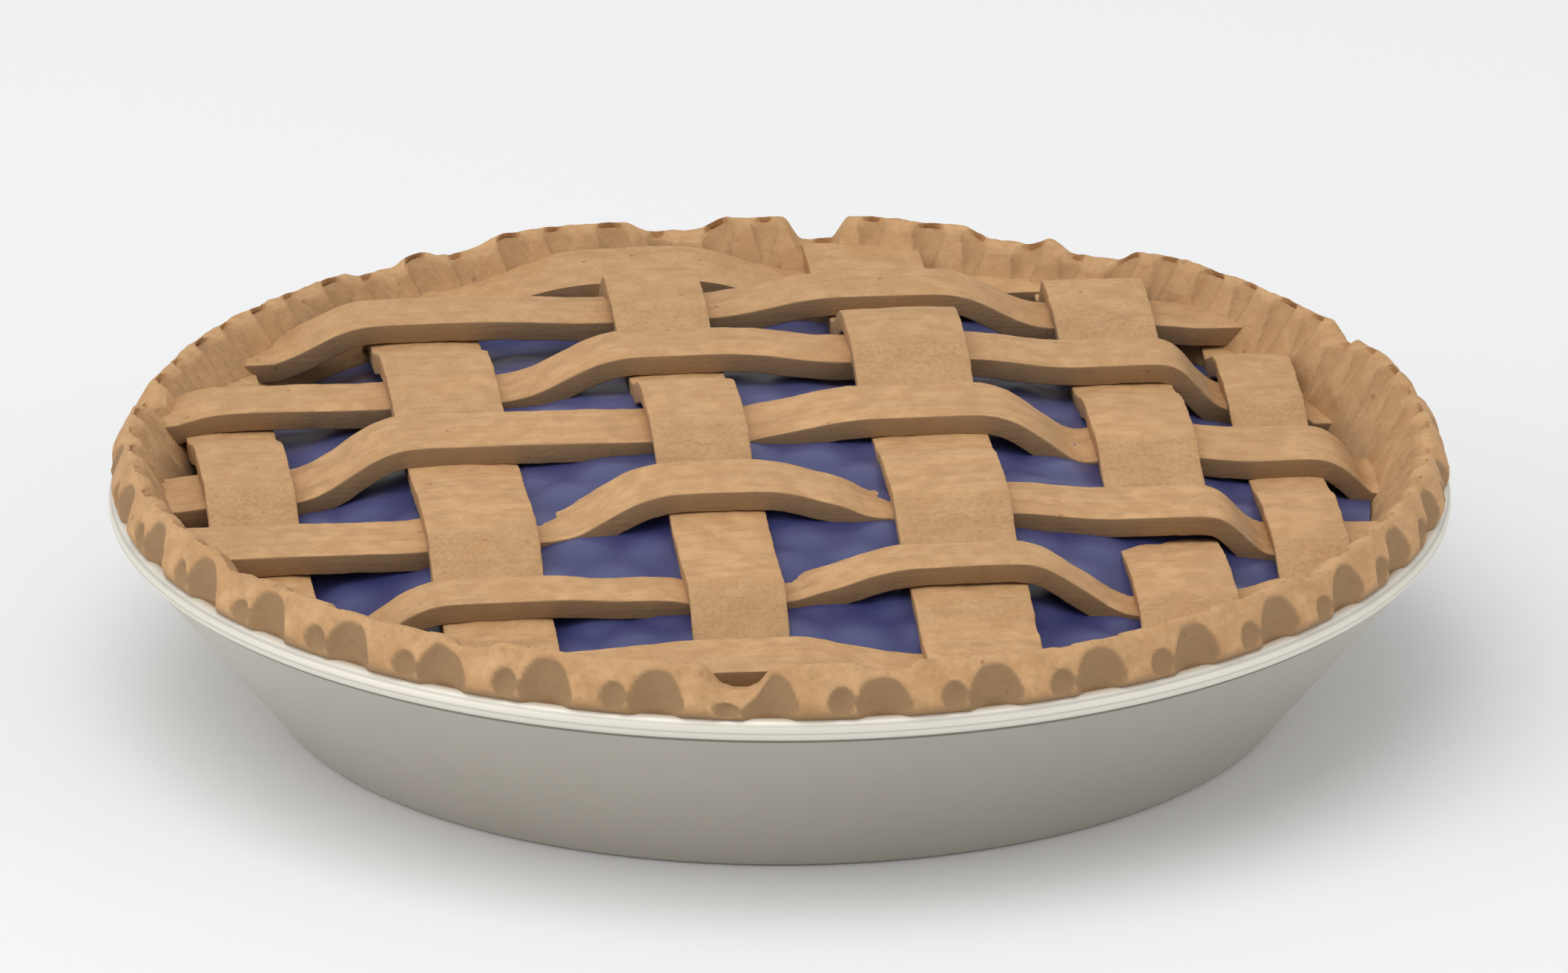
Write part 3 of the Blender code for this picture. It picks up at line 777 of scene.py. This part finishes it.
class PIE_OT_crust(bpy.types.Operator):
    """Turn the pastry case and press its crimped edge"""

    bl_idname = "pie.crust"
    bl_label = "Crust"

    def execute(self, context):
        sizes = context.scene.pie_sizes
        face = [
            (NECK_RADIUS, NECK_HEIGHT),
            (LIP_RADIUS, LIP_HEIGHT),
            (OUTER_RADIUS, OUTER_HEIGHT),
            (BROW_RADIUS, BROW_HEIGHT),
            (SHOULDER_RADIUS, SHOULDER_HEIGHT),
            (CROWN_RADIUS, CROWN_HEIGHT),
            (INNER_EDGE_RADIUS, INNER_EDGE_HEIGHT),
        ]
        wall = []
        for step in range(1, CRUST_WALL_STEPS + 1):
            height = INNER_EDGE_HEIGHT + (FILLING_EDGE_HEIGHT - INNER_EDGE_HEIGHT) * step / CRUST_WALL_STEPS
            wall.append((wall_radius(height), height))
        profile = [
            (0, CRUST_FOOT_HEIGHT),
            (CRUST_FOOT_RADIUS, CRUST_FOOT_HEIGHT),
            (NECK_RADIUS, NECK_FOOT_HEIGHT),
            *smooth_curve(face, FACE_CURVE_STEPS),
            *wall,
            (CRUST_FLOOR_RADIUS, CRUST_FLOOR_HEIGHT),
            (0, CRUST_FLOOR_HEIGHT),
        ]
        crust = turned("crust_dressed", profile, PINCH_PAIRS * POINTS_PER_PINCH)
        painted_shades = []
        baked = []
        for point in crust.data.vertices:
            clock = clock_of(point.co)
            radius, height, side, browning = press_crust(point.co.xy.length, point.co.z, clock)
            spot = Vector((radius * math.sin(clock), radius * math.cos(clock), height))
            if height > FILLING_EDGE_HEIGHT:
                lift = lumps(spot, CRUST_LUMP_SIZE, sizes.dough_lumps)
                lift += lumps(spot, CRUST_GRIT_SIZE, sizes.dough_grit)
                lift *= ease((height - LIP_HEIGHT) / LIP_FADE) if radius > CROWN_RADIUS else 1.0
                spot += Vector((math.sin(clock), math.cos(clock), 1)) * lift
            point.co = spot
            painted_shades.append(side)
            baked.append(browning)
        # The side mark holds painted shade; the baked mark holds the browning.
        store_mark(crust, "side", painted_shades)
        store_mark(crust, "baked", baked)
        colours = context.scene.pie_colours
        pastry = once("Pastry of the crust", pastry_finish, colours, (1.5, 1.5, 1.0))
        dress(crust, pastry, "pastry", "crust")
        return {"FINISHED"}


def filling_height(x, y):
    """A dome that falls away from the middle, first slowly and then steadily, and leans a little."""
    inside = max(0.0, 1 - (math.hypot(x, y) / FILLING_EDGE_RADIUS) ** 4)
    tilt = FILLING_TILT_X * x + FILLING_TILT_Y * y
    fall = FILLING_FALL * (math.sqrt(x * x + y * y + FILLING_SPREAD**2) - FILLING_SPREAD)
    return FILLING_TOP - fall + tilt * inside


def berry_places():
    """The berries near the surface, in uneven rows all over the filling."""
    draw = random.Random(SEED)
    rows = math.ceil(FILLING_EDGE_RADIUS / BERRY_PITCH) + 1
    places = []
    for row in range(-rows, rows + 1):
        for column in range(-rows, rows + 1):
            x = (column + 0.5 * (row % 2)) * BERRY_PITCH
            y = row * BERRY_ROW_PITCH
            x += draw.uniform(-BERRY_SCATTER, BERRY_SCATTER)
            y += draw.uniform(-BERRY_SCATTER, BERRY_SCATTER)
            places.append(Vector((x, y)))
    return places


class PIE_OT_filling(bpy.types.Operator):
    """Pour the gel of the filling over the berries"""

    bl_idname = "pie.filling"
    bl_label = "Filling"

    def execute(self, context):
        sizes = context.scene.pie_sizes
        edge_radius = FILLING_EDGE_RADIUS - FILLING_GAP
        rings = [edge_radius * ring / FILLING_RINGS for ring in range(FILLING_RINGS + 1)]
        profile = [(0, FILLING_FOOT_HEIGHT), (FILLING_FOOT_RADIUS, FILLING_FOOT_HEIGHT)]
        profile += [(radius, filling_height(radius, 0)) for radius in reversed(rings)]
        filling = turned("filling_dressed", profile, FILLING_SEGMENTS)
        places = berry_places()
        berries = KDTree(len(places))
        for number, place in enumerate(places):
            berries.insert(place.to_3d(), number)
        berries.balance()
        humps = []
        for point in filling.data.vertices:
            hump = 0.0
            if point.co.z > FILLING_FOOT_HEIGHT + MM:
                flat = point.co.xy
                nearest = berries.find(flat.to_3d())[2]
                hump = math.exp(-((nearest / sizes.berry_radius) ** 2) * GEL_HUMP_NARROWNESS)
                at_edge = ease((edge_radius - flat.length) / GEL_SHORE)
                fall = sizes.gel_depth * (1 - hump) * at_edge
                point.co.z = filling_height(flat.x, flat.y)
                point.co.z += lumps(point.co, GEL_LUMP_SIZE, GEL_LUMP_DEPTH) * at_edge - fall
            humps.append(hump)
        store_mark(filling, "berry", humps)
        gel = once("Berry gel", gel_finish, context.scene.pie_colours)
        dress(filling, gel, "filling", "filling")
        return {"FINISHED"}


def model_berry(radius):
    """One berry: a sphere with the small crowned hollow of its blossom end on top."""
    add = bpy.ops.mesh.primitive_uv_sphere_add
    berry = new_piece(add, "berry", segments=BERRY_SEGMENTS, ring_count=BERRY_RINGS, radius=radius)
    for point in berry.data.vertices:
        if point.co.z < BERRY_TOP * radius:
            point.co.z *= BERRY_SQUASH
        elif point.co.xy.length / radius < BLOSSOM_RADIUS:
            point.co.z -= BLOSSOM_DEPTH * radius
        else:
            around = math.atan2(point.co.y, point.co.x)
            point.co.z += BLOSSOM_POINT_RISE * radius * math.cos(BLOSSOM_POINTS * around)
    return berry


class PIE_OT_berries(bpy.types.Operator):
    """Set whole berries into the gel, some deeper than others"""

    bl_idname = "pie.berries"
    bl_label = "Berries"

    def execute(self, context):
        sizes = context.scene.pie_sizes
        draw = random.Random(SEED + 1)
        model = model_berry(sizes.berry_radius)
        most_reach = FILLING_EDGE_RADIUS - BERRY_MARGIN * sizes.berry_radius
        copies = []
        for place in berry_places():
            size = draw.uniform(*BERRY_SIZES)
            rise = draw.uniform(*BERRY_RISE)
            tilts = [draw.uniform(-BERRY_TILT, BERRY_TILT) for _ in range(2)]
            turn = (*tilts, draw.uniform(0, math.tau))
            if place.length > most_reach:
                continue
            bpy.ops.object.select_all(action="DESELECT")
            model.select_set(True)
            context.view_layer.objects.active = model
            bpy.ops.object.duplicate(linked=False)
            copy = context.active_object
            top = filling_height(place.x, place.y) + rise
            copy.location = (place.x, place.y, top - size * sizes.berry_radius)
            copy.rotation_euler = turn
            copy.scale = (size, size, size * BERRY_FLATNESS)
            copies.append(copy)
        bpy.data.objects.remove(model)
        bpy.ops.object.select_all(action="DESELECT")
        for copy in copies:
            copy.select_set(True)
        context.view_layer.objects.active = copies[0]
        bpy.ops.object.join()
        berries = context.active_object
        berries.name = "berries"
        berries.data.name = "berries"
        bpy.ops.object.transform_apply(location=True, rotation=True, scale=True)
        skin = once("Berry skin", berry_finish, context.scene.pie_colours)
        dress(berries, skin, "filling")
        return {"FINISHED"}


def sunk(node, reach, height, gel_height):
    """The height of a strip's top, lower where the strip goes under in the gel or sags."""
    height -= SINK_DEPTH * ease((gel_height + SINK_FROM - height) / SINK_OVER)
    middle, half_length, depth = STRIP_DIPS.get(node, (0.0, 1.0, 0.0))
    return height - depth * ease(1 - abs(reach - middle) / half_length)


def lay_of(node, across):
    """The heights of a strip's top along its middle line, read off its node every millimetre."""
    graph = bpy.context.evaluated_depsgraph_get()
    surface = BVHTree.FromObject(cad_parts[node], graph)
    low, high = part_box(node)
    middle = (low[1] + high[1]) / 2 if across else (low[0] + high[0]) / 2
    start, end = (low[0], high[0]) if across else (low[1], high[1])
    count = math.ceil((end - start) / MM)
    reaches = []
    heights = []
    for step in range(count + 1):
        reach = start + (end - start) * step / count
        x, y = (reach, middle) if across else (middle, reach)
        hit = surface.ray_cast(Vector((x, y, 1.0)), Vector((0, 0, -1)))[0]
        if hit:
            reaches.append(reach)
            heights.append(sunk(node, reach, hit.z, filling_height(x, y)))
    return middle, reaches, heights


def smoothed(heights, passes):
    """The same heights with their kinks rounded. The ends stay."""
    for _ in range(passes):
        inner = [(a + 2 * b + c) / 4 for a, b, c in zip(heights, heights[1:], heights[2:])]
        heights = [heights[0], *inner, heights[-1]]
    return heights


def height_at(reach, reaches, heights):
    """The height of the strip's top at a reach, level past both ends."""
    place = (reach - reaches[0]) / (reaches[-1] - reaches[0]) * (len(reaches) - 1)
    place = min(max(place, 0.0), len(reaches) - 1.001)
    before = int(place)
    return heights[before] + (heights[before + 1] - heights[before]) * (place - before)


def wall_reach(side, lateral, reaches, heights):
    """Where a line along a strip meets the crust's wall, a little inside it."""
    reach = side * math.sqrt(max(0.0, FILLING_EDGE_RADIUS**2 - lateral**2))
    for _ in range(WALL_PASSES):
        radius = wall_radius(min(height_at(reach, reaches, heights), INNER_EDGE_HEIGHT)) + WALL_EMBED
        reach = side * math.sqrt(max(0.0, radius**2 - lateral**2))
    return reach


def lay_strip(node, across, sizes):
    """A strip of rolled pastry: a sheet bent over the weave, thickened, and rounded at its cut edges."""
    low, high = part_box(node)
    width = high[1] - low[1] if across else high[0] - low[0]
    middle, reaches, heights = lay_of(node, across)
    heights = smoothed(heights, STRIP_SMOOTHING)
    first, last = (low[0], high[0]) if across else (low[1], high[1])
    rows = sizes.strip_columns
    columns = math.ceil((last - first) / sizes.strip_step)
    add = bpy.ops.mesh.primitive_grid_add
    strip = new_piece(add, node + "_dressed", x_subdivisions=columns, y_subdivisions=rows, size=1)
    seed = Vector((0, 0, 10.0 + sum(map(ord, node))))
    lines = {}
    for row in range(rows + 1):
        lateral = middle + (row / rows - 0.5) * width
        ends = [wall_reach(side, lateral, reaches, heights) for side in (-1, 1)]
        cuts = (first, last)
        lines[row] = [end if abs(end) < abs(cut) + SQUARE_CUT_REACH else cut for end, cut in zip(ends, cuts)]
    for point in strip.data.vertices:
        along, sideways = point.co.x + 0.5, 2 * point.co.y
        lateral = middle + sideways * width / 2
        start, end = lines[round((point.co.y + 0.5) * rows)]
        reach = start + (end - start) * along
        stray = noise.noise(Vector((reach / STRAY_LENGTH, math.copysign(STRAY_LANE, sideways), 0)) + seed)
        fray = noise.noise(Vector((reach / FRAY_LENGTH, math.copysign(FRAY_LANE, sideways), 0)) + seed)
        lateral += sizes.strip_wander * sideways * (stray + FRAY_SHARE * fray)
        puff = STRIP_CROWN_SHARE - abs(sideways) ** STRIP_CROWN_POWER
        height = height_at(reach, reaches, heights) + sizes.strip_crown * puff
        sag = noise.noise(Vector((reach / SAG_LENGTH, sideways * SAG_LANE_WIDTH, SAG_LANE)) + seed)
        height += STRIP_SAG * sag
        point.co = (reach, lateral, height) if across else (lateral, reach, height)
    if not across:
        edit(strip)
        bpy.ops.mesh.select_all(action="SELECT")
        bpy.ops.mesh.flip_normals()
        bpy.ops.object.mode_set(mode="OBJECT")
    apply_modifier(strip, "SOLIDIFY", thickness=sizes.strip_thickness, offset=-1.0, use_even_offset=True)
    apply_modifier(
        strip,
        "BEVEL",
        width=sizes.strip_round,
        segments=STRIP_EDGE_SEGMENTS,
        limit_method="ANGLE",
        angle_limit=STRIP_EDGE_ANGLE,
    )
    painted_shades = []
    baked = []
    for point, normal in zip(strip.data.vertices, [v.normal.copy() for v in strip.data.vertices]):
        spot = point.co.copy()
        reach = spot.x if across else spot.y
        above = height_at(reach, reaches, heights) - filling_height(spot.x, spot.y)
        # Painted shade: faces that turn away from the top are darkened, those of across strips much more
        # than those of along strips.
        shade = SIDE_SHADE_ACROSS if across else SIDE_SHADE_ALONG
        painted_shades.append(ease((SIDE_FACING - normal.z) / SIDE_BLEND) * shade)
        # The slopes of an along strip that face the front (-Y) take the darker, speckled look of the baked
        # mark.
        slope = 0.0 if across else ease(-normal.y / SLOPE_BLEND)
        baked.append(min(1.0, HIGH_BAKED * ease((above - HIGH_FROM) / HIGH_OVER) + FRONT_SLOPE_SPECKLE * slope))
        lift = lumps(spot + seed, STRIP_LUMP_SIZE, sizes.dough_lumps)
        lift += lumps(spot + seed, STRIP_GRIT_SIZE, sizes.dough_grit)
        point.co = spot + normal * lift * STRIP_LUMPS
    store_mark(strip, "side", painted_shades)
    store_mark(strip, "baked", baked)
    return strip


class PIE_OT_lattice(bpy.types.Operator):
    """Lay the woven strips of the lattice"""

    bl_idname = "pie.lattice"
    bl_label = "Lattice"

    def execute(self, context):
        sizes = context.scene.pie_sizes
        colours = context.scene.pie_colours
        laid_across = once("Pastry laid across", pastry_finish, colours, (14.0, 1.0, 1.0))
        laid_along = once("Pastry laid along", pastry_finish, colours, (6.0, 1.0, 1.0))
        for node in ACROSS_STRIPS:
            dress(lay_strip(node, True, sizes), laid_across, "pastry", node)
        for node in ALONG_STRIPS:
            dress(lay_strip(node, False, sizes), laid_along, "pastry", node)
        return {"FINISHED"}


def floor_finish(name, colours):
    """A pale, dull floor with hardly any pattern."""
    finish = Finish(name)
    patches = finish.clouds(finish.place(), 0.9, detail=1.0)
    tone = finish.mix(patches * 0.02, colours.floor, colours.floor_shade)
    finish.paint(base_color=tone, roughness=0.9)
    return finish.material


def soft_light(name, place, size, power):
    """A square light that points at the pie."""
    bpy.ops.object.select_all(action="DESELECT")
    bpy.ops.object.light_add(type="AREA", location=place)
    lamp = bpy.context.active_object
    lamp.name = name
    lamp.data.shape = "SQUARE"
    lamp.data.size = size
    lamp.data.energy = power
    lamp.rotation_euler = (LIGHT_TARGET - Vector(place)).to_track_quat("-Z", "Y").to_euler()


class PIE_OT_stage(bpy.types.Operator):
    """Set the floor, the soft lights and the camera"""

    bl_idname = "pie.stage"
    bl_label = "Stage"

    def execute(self, context):
        scene = context.scene
        add = bpy.ops.mesh.primitive_circle_add
        floor = new_piece(add, "floor", vertices=FLOOR_CORNERS, radius=FLOOR_RADIUS, fill_type="NGON")
        floor.data.materials.append(once("Pale floor", floor_finish, scene.pie_colours))

        for light in LIGHTS:
            soft_light(*light)
        world = bpy.data.worlds.new("Pale room")
        world.use_nodes = True
        background = world.node_tree.nodes["Background"]
        background.inputs["Color"].default_value = ROOM_LIGHT
        background.inputs["Strength"].default_value = ROOM_STRENGTH
        scene.world = world
        scene.view_settings.view_transform = "Standard"

        right = Vector((math.cos(VIEW_TURN), math.sin(VIEW_TURN), 0))
        back = Vector((
            math.sin(VIEW_TURN) * math.cos(VIEW_ELEVATION),
            -math.cos(VIEW_TURN) * math.cos(VIEW_ELEVATION),
            math.sin(VIEW_ELEVATION),
        ))
        up = back.cross(right)
        pixels_per_metre = RIM_HALF_WIDTH_PX / RIM_RADIUS
        target = right * (PICTURE_WIDTH / 2 - ORIGIN_PX_X) / pixels_per_metre
        target += up * (ORIGIN_PX_Y - PICTURE_HEIGHT / 2) / pixels_per_metre
        distance = PICTURE_WIDTH / pixels_per_metre * LENS_MM / SENSOR_MM
        bpy.ops.object.camera_add()
        camera = context.active_object
        camera.data.lens = LENS_MM
        camera.data.sensor_width = SENSOR_MM
        camera.data.clip_end = CLIP_END
        camera.matrix_world = Matrix((right, up, back)).transposed().to_4x4()
        camera.location = target + back * distance
        scene.camera = camera
        return {"FINISHED"}


class PIE_PT_panel(bpy.types.Panel):
    """The pie's pieces, sizes and colours"""

    bl_label = "Lattice Berry Pie"
    bl_idname = "PIE_PT_panel"
    bl_space_type = "VIEW_3D"
    bl_region_type = "UI"
    bl_category = "Pie"

    def draw(self, context):
        layout = self.layout
        for operator in OPERATORS:
            layout.operator(operator.bl_idname)
        for group in (context.scene.pie_sizes, context.scene.pie_colours):
            box = layout.box()
            for name in group.__annotations__:
                box.prop(group, name)


OPERATORS = (
    PIE_OT_tin,
    PIE_OT_crust,
    PIE_OT_filling,
    PIE_OT_berries,
    PIE_OT_lattice,
    PIE_OT_stage,
)
CLASSES = (PieSizes, PieColours, *OPERATORS, PIE_PT_panel)


def register():
    for made in CLASSES:
        bpy.utils.register_class(made)
    bpy.types.Scene.pie_sizes = PointerProperty(type=PieSizes)
    bpy.types.Scene.pie_colours = PointerProperty(type=PieColours)


def unregister():
    del bpy.types.Scene.pie_colours
    del bpy.types.Scene.pie_sizes
    for made in reversed(CLASSES):
        bpy.utils.unregister_class(made)


def main():
    register()
    bpy.ops.pie.tin()
    bpy.ops.pie.crust()
    bpy.ops.pie.filling()
    bpy.ops.pie.berries()
    bpy.ops.pie.lattice()
    bpy.ops.pie.stage()


if __name__ == "__main__":
    main()
